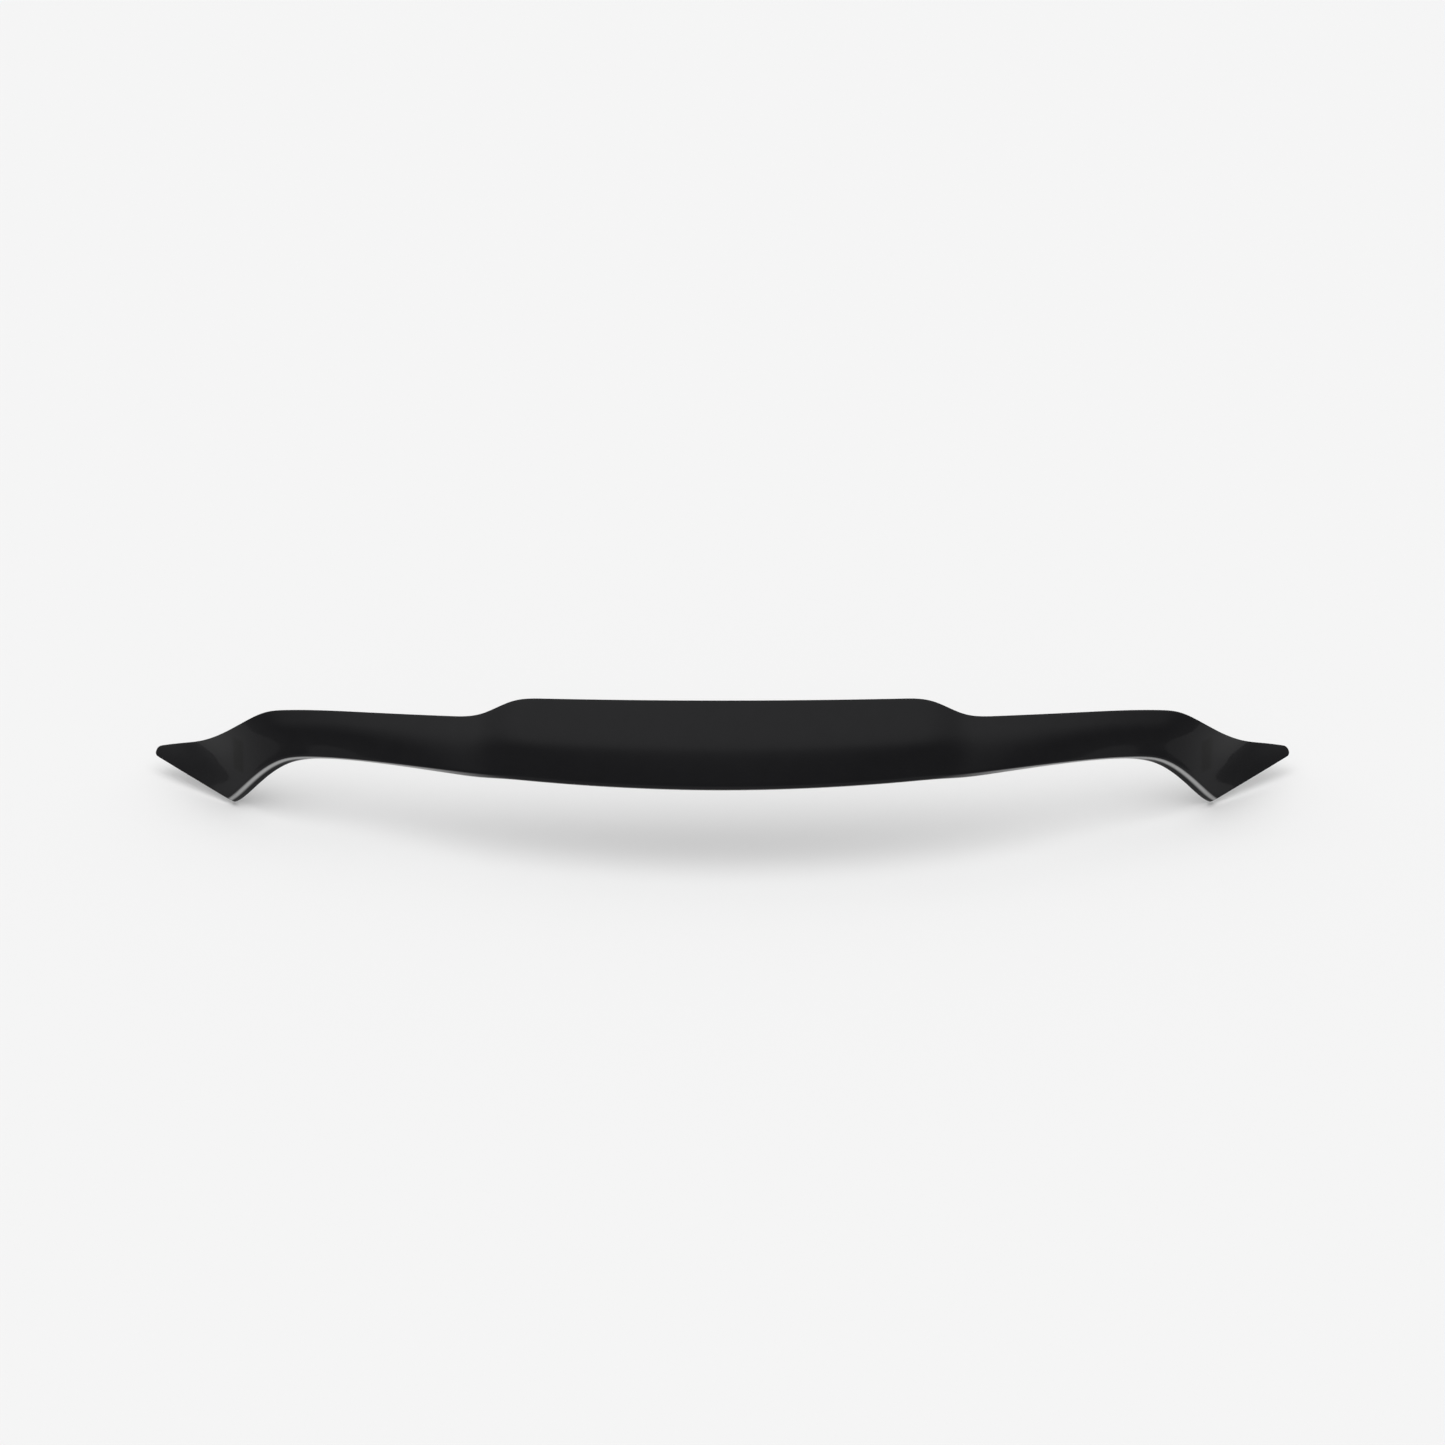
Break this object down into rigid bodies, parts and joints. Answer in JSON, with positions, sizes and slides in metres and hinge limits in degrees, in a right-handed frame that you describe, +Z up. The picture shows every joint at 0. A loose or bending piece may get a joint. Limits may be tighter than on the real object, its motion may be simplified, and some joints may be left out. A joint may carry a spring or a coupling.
{
  "type": "hood bug deflector",
  "caption": "Wide dark acrylic shield for the front edge of a pickup hood, with a raised centre, swept wings, a rolled lower lip and foam tape along its back.",
  "frame": {"origin": "middle of the upper centre tape's bonding face, where the part registers on the hood", "axes": "+X across the vehicle towards its left side, +Y rearward, +Z up, so the face looks towards -Y"},
  "size_m": [1.4886, 0.2749, 0.1876],
  "materials": {
    "smoked_acrylic": "gloss",
    "foam_tape": "matte"
  },
  "bodies": {
    "root": {"deflector_shell": "smoked_acrylic", "upper_tape_centre": "foam_tape", "upper_tape_left": "foam_tape", "upper_tape_right": "foam_tape", "lower_tape_centre": "foam_tape", "lower_tape_left": "foam_tape", "lower_tape_right": "foam_tape", "wing_pad_left": "foam_tape", "wing_pad_right": "foam_tape", "slant_tape_left": "foam_tape", "slant_tape_right": "foam_tape"}
  },
  "joints": []
}
